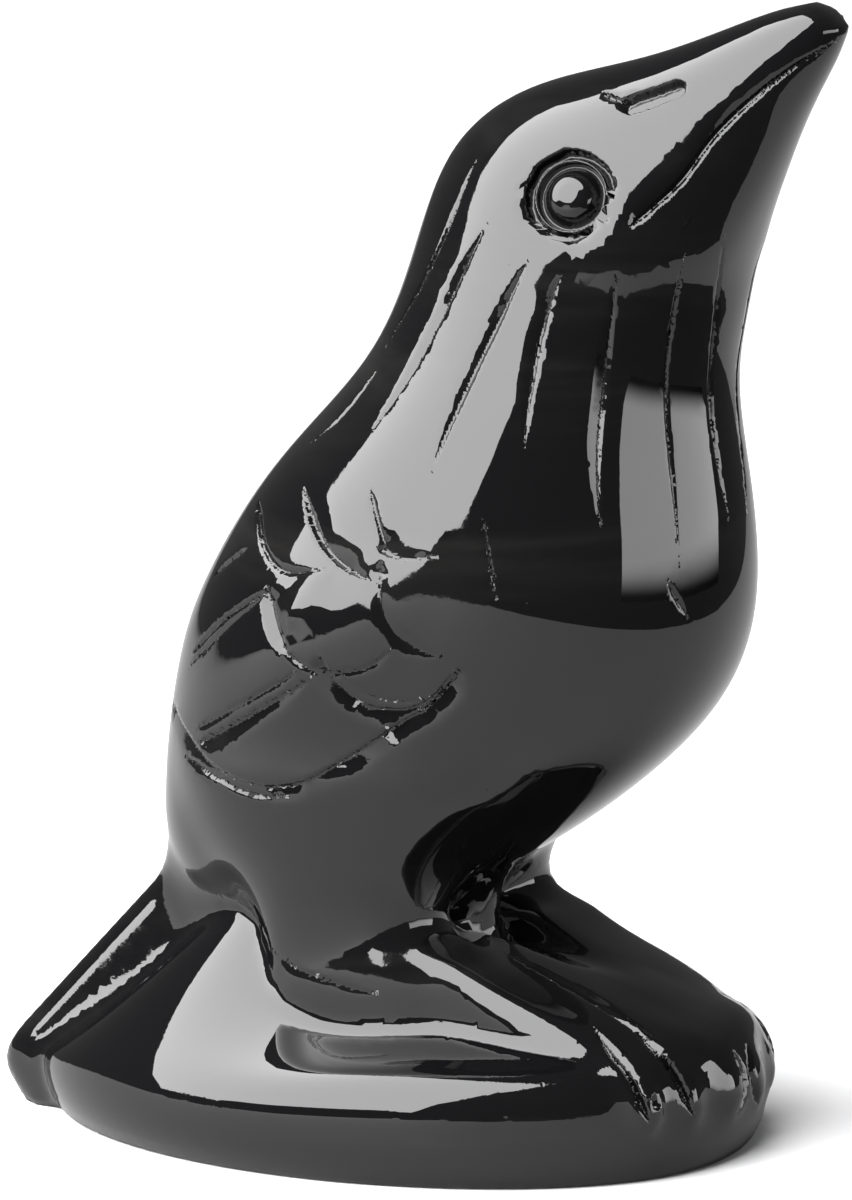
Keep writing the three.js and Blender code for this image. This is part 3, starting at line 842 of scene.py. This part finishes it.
# Finer mesh where there is something to cut: the faces within reach of the spots are split
def refine(reaches):
    tree = KDTree(sum(len(spots) for spots, _ in reaches) * 2)
    index = 0
    limits = []
    for spots, reach in reaches:
        for spot in spots:
            for hand in (1, -1):
                tree.insert((spot[0] * hand, spot[1], spot[2]), index)
                limits.append(reach)
                index += 1
    tree.balance()
    selectNothing()
    bpy.context.view_layer.objects.active = raven
    bpy.ops.object.mode_set(mode="EDIT")
    bpy.ops.mesh.select_mode(type="FACE")
    bpy.ops.mesh.select_all(action="DESELECT")
    bpy.ops.object.mode_set(mode="OBJECT")
    for face in raven.data.polygons:
        _, index, gap = tree.find(face.center)
        face.select = gap < limits[index]
    bpy.ops.object.mode_set(mode="EDIT")
    bpy.ops.mesh.subdivide(number_cuts=1, smoothness=0)
    bpy.ops.object.mode_set(mode="OBJECT")


tailEdges, _ = spotsOn(surface, softRows(tail["edge"], tail["edgeSteps"]))
slot = np.linspace(slotEnds[0], slotEnds[1], nostril["spots"])
for wideShare, extra, tailReach in carving["rounds"]:
    reaches = []
    for line in lines:
        if line["curl"] is not None:
            widest = max(line["left"].max(), line["right"].max())
            reaches.append((line["places"][::carving["everyFew"]], wideShare * widest + extra))
    reaches.append((eyeSpots, eyeShape["reach"] + extra / 2))
    reaches.append((slot, nostril["half"] + extra))
    if tailReach:
        reaches.append((tailEdges, tailReach))
    refine(reaches)
print("finer where it is cut:", sum(len(face.vertices) - 2 for face in raven.data.polygons), "triangles")


# The points as the right side sees them: mirrored for the left, and mirrored back by a second call
def facing(points, hand):
    return points * (hand, 1, 1)


# Corners next to a wall's foot or lip move onto it, so that cuts stay crisp
def snapToWalls(points, outwards):
    moved = np.zeros(len(points), bool)
    for hand in (1, -1):
        turned = facing(points, hand)
        for line in lines:
            if line["curl"] is None or line["once"] and hand < 0:
                continue
            near, nearest, aside = whereOn(line, turned)
            for rail in (0, line["left"][nearest], -line["right"][nearest]):
                miss = rail - aside
                pull = np.where(np.abs(miss) < carving["snap"], miss, 0)
                turned[near] += line["leftward"][nearest] * pull[:, None]
                aside = aside + pull
                moved[near[pull != 0]] = True
        points = facing(turned, hand)
    points[moved], outwards[moved] = settle(points[moved], 1)
    return points, outwards


# The strokes and nostrils of both sides are cut inwards. Ground is how dull a cut leaves each corner.
def cutStrokes(points, outwards):
    depth = np.zeros(len(points))
    swelling = np.zeros(len(points))
    ground = np.zeros(len(points))
    for hand in (1, -1):
        turned = facing(points, hand)
        for line in lines:
            if line["once"] and hand < 0:
                continue
            near, nearest, aside = whereOn(line, turned)
            if line["curl"] is None:
                swelling[near] -= cutDepth(line, nearest, aside)
                continue
            depth[near] = np.maximum(depth[near], cutDepth(line, nearest, aside))
            shown = np.clip(line["deep"][nearest] / carving["fullCut"], 0, 1)
            shown *= 1 - np.abs(aside) / carving["groundWidth"]
            ground[near] = np.maximum(ground[near], shown)
        near = np.flatnonzero(np.linalg.norm(turned - slotEnds.mean(0), axis=1) < nostril["reach"])
        depth[near] = np.maximum(depth[near], slotDepth(turned[near], slotEnds, slotOut))
    return points + outwards * (swelling - depth)[:, None], ground


# Each eye sinks straight inwards, round its own axis
def drillEyes(points):
    axis = eyeOut[0]
    side = np.cross(axis, (0, 0, 1))
    side /= np.linalg.norm(side)
    over = np.cross(side, axis)
    for hand in (1, -1):
        turned = facing(points, hand)
        offset = turned - eyeSpots[0]
        near = np.flatnonzero(np.linalg.norm(offset, axis=1) < eyeShape["reach"] + eyeShape["margin"])
        flat = offset[near] - (offset[near] @ axis)[:, None] * axis
        sunk = eyeDepth(np.linalg.norm(flat, axis=1), np.arctan2(flat @ over, flat @ side))
        turned[near] -= axis * sunk[:, None]
        points = facing(turned, hand)
    return points


carved, outwards = snapToWalls(*settle(coordinates(raven), 1))
carved, ground = cutStrokes(carved, outwards)
moveTo(raven, drillEyes(carved))
cutMark = raven.data.attributes.new("cut", "FLOAT", "POINT")
cutMark.data.foreach_set("value", ground)
print("carved")

# The finished carving in metres, on the frame's own place
bpy.context.view_layer.objects.active = raven
finished = coordinates(raven)
finished[:, 1] += shiftY
moveTo(raven, finished * mm)
selectNothing()
raven.select_set(True)
bpy.ops.object.shade_smooth()

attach(raven, "root")
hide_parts("raven_carving")


def addCamera():
    target = (place(*view["target"]) + Vector((0, shiftY, 0))) * mm
    selectNothing()
    bpy.ops.object.camera_add(location=target + toEye * view["distance"] * mm)
    camera = bpy.context.object
    camera.rotation_euler = (-toEye).to_track_quat("-Z", "Y").to_euler()
    camera.data.sensor_width = view["sensor"]
    camera.data.sensor_fit = "AUTO"
    camera.data.lens = view["lens"]
    camera.data.clip_start = view["nearest"]
    bpy.context.scene.camera = camera


addCamera()


stone = {
    "deep": (0.0025, 0.0025, 0.0028, 1),
    "smoky": (0.009, 0.0085, 0.008, 1),
    "polish": 0.02,
    "dulled": 0.075,
    "ground": 0.2,
    "bandScale": 60,
    "sheenScale": 140,
    "grainScale": 5200,
    "grainHeight": 7e-6,  # metres, as the other heights
    "pitScale": 900,
    "pitShare": 0.12,
    "pitHeight": 9e-6,
    "waveScale": 160,
    "waveHeight": 3.5e-6,
    "wornFrom": 0.002,  # most worn below this height and least above the next
    "wornTo": 0.009,
    "wornMost": 1.3,
    "glassIor": 1.5,
}


# A reusable effect: a node group with named sockets, given as name: (kind, default)
def newGroup(name, inputs, outputs):
    group = bpy.data.node_groups.new(name, "ShaderNodeTree")
    for socket, (kind, value) in inputs.items():
        made = group.interface.new_socket(socket, in_out="INPUT", socket_type=kind)
        if value is not None:
            made.default_value = value
    for socket in outputs:
        group.interface.new_socket(socket, in_out="OUTPUT", socket_type="NodeSocketFloat")
    entrance = group.nodes.new("NodeGroupInput")
    leaving = group.nodes.new("NodeGroupOutput")
    return group, entrance.outputs, leaving.inputs


def addNode(tree, kind, links, **settings):
    node = tree.nodes.new("ShaderNode" + kind)
    for key, value in settings.items():
        if key in node.inputs:
            node.inputs[key].default_value = value
        else:
            setattr(node, key, value)
    for socket, source in links.items():
        tree.links.new(source, node.inputs[socket])
    return node


def ramped(tree, source, low, high):
    node = addNode(tree, "MapRange", {"Value": source}, interpolation_type="SMOOTHSTEP")
    node.inputs["From Min"].default_value = low
    node.inputs["From Max"].default_value = high
    return node.outputs["Result"]


def calculated(tree, operation, first, second):
    node = addNode(tree, "Math", {}, operation=operation)
    for index, value in enumerate((first, second)):
        if isinstance(value, (int, float)):
            node.inputs[index].default_value = value
        else:
            tree.links.new(value, node.inputs[index])
    return node.outputs["Value"]


# Smoky bands, as the glass flowed
def flowBands():
    group, given, made = newGroup("flowBands", {
        "Vector": ("NodeSocketVector", None),
        "Scale": ("NodeSocketFloat", 60),
    }, ["Bands"])
    stretched = addNode(group, "Mapping", {"Vector": given["Vector"]}, Rotation=(0.5, 0.3, 0))
    stretched.inputs["Scale"].default_value = (1, 0.35, 3)
    veils = addNode(group, "TexNoise", {"Vector": stretched.outputs["Vector"], "Scale": given["Scale"]},
                    Detail=5, Roughness=0.6, Distortion=0.8)
    group.links.new(ramped(group, veils.outputs["Fac"], 0.45, 0.75), made["Bands"])
    return group


# Where the polish has dulled: soft patches broken up by finer ones
def dulledPatches():
    group, given, made = newGroup("dulledPatches", {
        "Vector": ("NodeSocketVector", None),
        "Scale": ("NodeSocketFloat", 140),
    }, ["Dulled"])
    broad = addNode(group, "TexNoise", {"Vector": given["Vector"], "Scale": given["Scale"]}, Detail=3)
    finer = calculated(group, "MULTIPLY", given["Scale"], 9)
    fine = addNode(group, "TexNoise", {"Vector": given["Vector"], "Scale": finer}, Detail=4)
    patches = ramped(group, broad.outputs["Fac"], 0.48, 0.68)
    broken = calculated(group, "MULTIPLY", patches, ramped(group, fine.outputs["Fac"], 0.35, 0.7))
    group.links.new(broken, made["Dulled"])
    return group


# Tiny round pits in a share of the cells, with radii from 0.05 to 0.19 of a cell
def scatteredPits():
    group, given, made = newGroup("scatteredPits", {
        "Vector": ("NodeSocketVector", None),
        "Scale": ("NodeSocketFloat", 900),
        "Share": ("NodeSocketFloat", 0.1),
    }, ["Pits"])
    cells = addNode(group, "TexVoronoi", {"Vector": given["Vector"], "Scale": given["Scale"]}, Randomness=1)
    luck = addNode(group, "SeparateColor", {"Color": cells.outputs["Color"]})
    chosen = calculated(group, "LESS_THAN", luck.outputs["Red"], given["Share"])
    size = calculated(group, "MULTIPLY_ADD", luck.outputs["Green"], 0.14)
    size.node.inputs[2].default_value = 0.05
    inside = calculated(group, "SUBTRACT", 1, calculated(group, "DIVIDE", cells.outputs["Distance"], size))
    bowl = calculated(group, "MAXIMUM", inside, 0)
    group.links.new(calculated(group, "MULTIPLY", bowl, chosen), made["Pits"])
    return group


def obsidianStone():
    material = bpy.data.materials.new("obsidian")
    material.use_nodes = True
    tree = material.node_tree
    shader = tree.nodes["Principled BSDF"]
    where = addNode(tree, "TexCoord", {}).outputs["Object"]
    cut = addNode(tree, "Attribute", {}, attribute_name="cut").outputs["Fac"]

    def effect(group, **inputs):
        node = addNode(tree, "Group", {}, node_tree=group)
        tree.links.new(where, node.inputs["Vector"])
        for name, value in inputs.items():
            node.inputs[name].default_value = value
        return node.outputs[0]

    bands = effect(flowBands(), Scale=stone["bandScale"])
    dulled = effect(dulledPatches(), Scale=stone["sheenScale"])
    pits = effect(scatteredPits(), Scale=stone["pitScale"], Share=stone["pitShare"])
    glass = addNode(tree, "Mix", {"Factor": bands}, data_type="RGBA")
    glass.inputs[6].default_value = stone["deep"]
    glass.inputs[7].default_value = stone["smoky"]
    tree.links.new(glass.outputs[2], shader.inputs["Base Color"])

    worn = addNode(tree, "Mix", {"Factor": dulled}, data_type="FLOAT")
    worn.inputs["A"].default_value = stone["polish"]
    worn.inputs["B"].default_value = stone["dulled"]
    ground = addNode(tree, "Mix", {"Factor": cut, "A": worn.outputs[0]}, data_type="FLOAT")
    ground.inputs["B"].default_value = stone["ground"]
    tree.links.new(ground.outputs[0], shader.inputs["Roughness"])

    grain = addNode(tree, "TexNoise", {"Vector": where}, Scale=stone["grainScale"], Detail=2)
    heights = addNode(tree, "SeparateXYZ", {"Vector": where})
    high = ramped(tree, heights.outputs["Z"], stone["wornFrom"], stone["wornTo"])
    low = calculated(tree, "SUBTRACT", stone["wornMost"], high)
    grainWhere = calculated(tree, "MAXIMUM", calculated(tree, "MULTIPLY", dulled, low), cut)
    grainUp = calculated(tree, "MULTIPLY", grain.outputs["Fac"], grainWhere)
    waves = addNode(tree, "TexNoise", {"Vector": where}, Scale=stone["waveScale"], Detail=1)
    height = calculated(tree, "MULTIPLY", grainUp, stone["grainHeight"])
    waveUp = calculated(tree, "MULTIPLY", waves.outputs["Fac"], stone["waveHeight"])
    pitDown = calculated(tree, "MULTIPLY", pits, stone["pitHeight"])
    height = calculated(tree, "SUBTRACT", calculated(tree, "ADD", height, waveUp), pitDown)
    relief = addNode(tree, "Bump", {"Height": height}, Strength=1, Distance=1)
    tree.links.new(relief.outputs["Normal"], shader.inputs["Normal"])
    shader.inputs["IOR"].default_value = stone["glassIor"]
    return material


raven.data.materials.clear()
raven.data.materials.append(obsidianStone())

# Turns are degrees from straight ahead towards the bird's right, rises are above the level
studio = {
    "floor": (1.4, 1.15),
    "floorMiddle": (0, 0.492),  # its front edge is near, so the throat mirrors the dark beyond it
    "floorTone": (0.85, 0.85, 0.86, 1),
    "floorMirrored": (0.34, 0.34, 0.34, 1),  # as the black stone mirrors it
    "floorRough": 0.7,
    "backdrop": (1, 1, 1, 1),
    "room": 0.1,
    "middle": 0.025,  # the height that the panel faces
    "panel": {"turn": 122, "rise": 44, "distance": 0.6, "size": (1.0, 0.87), "power": 28},
    "card": {
        "turn": -8, "up": 0.03, "distance": 0.5, "size": (0.58, 0.19), "power": 5, "fade": (-0.055, 0.02),
    },
}


def addFloor():
    selectNothing()
    bpy.ops.mesh.primitive_plane_add(size=1)
    bpy.ops.object.mode_set(mode="EDIT")
    bpy.ops.transform.resize(value=(*studio["floor"], 1))
    bpy.ops.transform.translate(value=(*studio["floorMiddle"], 0))
    bpy.ops.object.mode_set(mode="OBJECT")
    floor = bpy.context.object
    floor.name = "floor"
    material = bpy.data.materials.new("floor")
    material.use_nodes = True
    shader = material.node_tree.nodes["Principled BSDF"]
    shader.inputs["Roughness"].default_value = studio["floorRough"]
    rays = material.node_tree.nodes.new("ShaderNodeLightPath")
    tone = material.node_tree.nodes.new("ShaderNodeMix")
    tone.data_type = "RGBA"
    tone.inputs[6].default_value = studio["floorMirrored"]
    tone.inputs[7].default_value = studio["floorTone"]
    material.node_tree.links.new(rays.outputs["Is Camera Ray"], tone.inputs["Factor"])
    material.node_tree.links.new(tone.outputs[2], shader.inputs["Base Color"])
    floor.data.materials.append(material)


addFloor()


def addPanel(name, turn, rise, distance, size, power):
    turn, rise = math.radians(turn), math.radians(rise)
    toPanel = place(math.cos(turn) * math.cos(rise), math.sin(turn) * math.cos(rise), math.sin(rise))
    selectNothing()
    bpy.ops.object.light_add(type="AREA", location=toPanel * distance + Vector((0, 0, studio["middle"])))
    panel = bpy.context.object
    panel.name = name
    panel.rotation_euler = toPanel.to_track_quat("Z", "Y").to_euler()
    panel.data.shape = "RECTANGLE"
    panel.data.size, panel.data.size_y = size
    panel.data.energy = power


addPanel("keyPanel", **studio["panel"])


# A pale card stands beyond the front edge of the floor and fades out towards its foot
def addCard(name, turn, distance, size, power, up, fade):
    turn = math.radians(turn)
    toCard = place(math.cos(turn), math.sin(turn), 0)
    selectNothing()
    bpy.ops.mesh.primitive_plane_add(size=1)
    card = bpy.context.object
    card.name = name
    bpy.ops.object.mode_set(mode="EDIT")
    bpy.ops.transform.resize(value=(*size, 1))
    bpy.ops.object.mode_set(mode="OBJECT")
    card.location = toCard * distance + Vector((0, 0, up))
    card.rotation_euler = (-toCard).to_track_quat("Z", "Y").to_euler()
    bpy.ops.object.transform_apply(location=True, rotation=True, scale=True)
    material = bpy.data.materials.new("card")
    material.use_nodes = True
    tree = material.node_tree
    shader = tree.nodes["Principled BSDF"]
    shader.inputs["Base Color"].default_value = (0, 0, 0, 1)
    shader.inputs["Emission Strength"].default_value = power
    where = addNode(tree, "TexCoord", {}).outputs["Object"]
    heights = addNode(tree, "SeparateXYZ", {"Vector": where})
    tree.links.new(ramped(tree, heights.outputs["Z"], *fade), shader.inputs["Emission Color"])
    card.data.materials.append(material)


addCard("breastCard", **studio["card"])

world = bpy.data.worlds.new("studio")
bpy.context.scene.world = world
world.use_nodes = True
worldNodes = world.node_tree.nodes
room = worldNodes["Background"]
room.inputs["Color"].default_value = (1, 1, 1, 1)
room.inputs["Strength"].default_value = studio["room"]
backdrop = worldNodes.new("ShaderNodeBackground")
backdrop.inputs["Color"].default_value = studio["backdrop"]
rays = worldNodes.new("ShaderNodeLightPath")
mixed = worldNodes.new("ShaderNodeMixShader")
worldLinks = world.node_tree.links
worldLinks.new(rays.outputs["Is Camera Ray"], mixed.inputs["Fac"])
worldLinks.new(room.outputs["Background"], mixed.inputs[1])
worldLinks.new(backdrop.outputs["Background"], mixed.inputs[2])
worldLinks.new(mixed.outputs["Shader"], worldNodes["World Output"].inputs["Surface"])
bpy.context.scene.view_settings.view_transform = "Standard"
print("studio set")
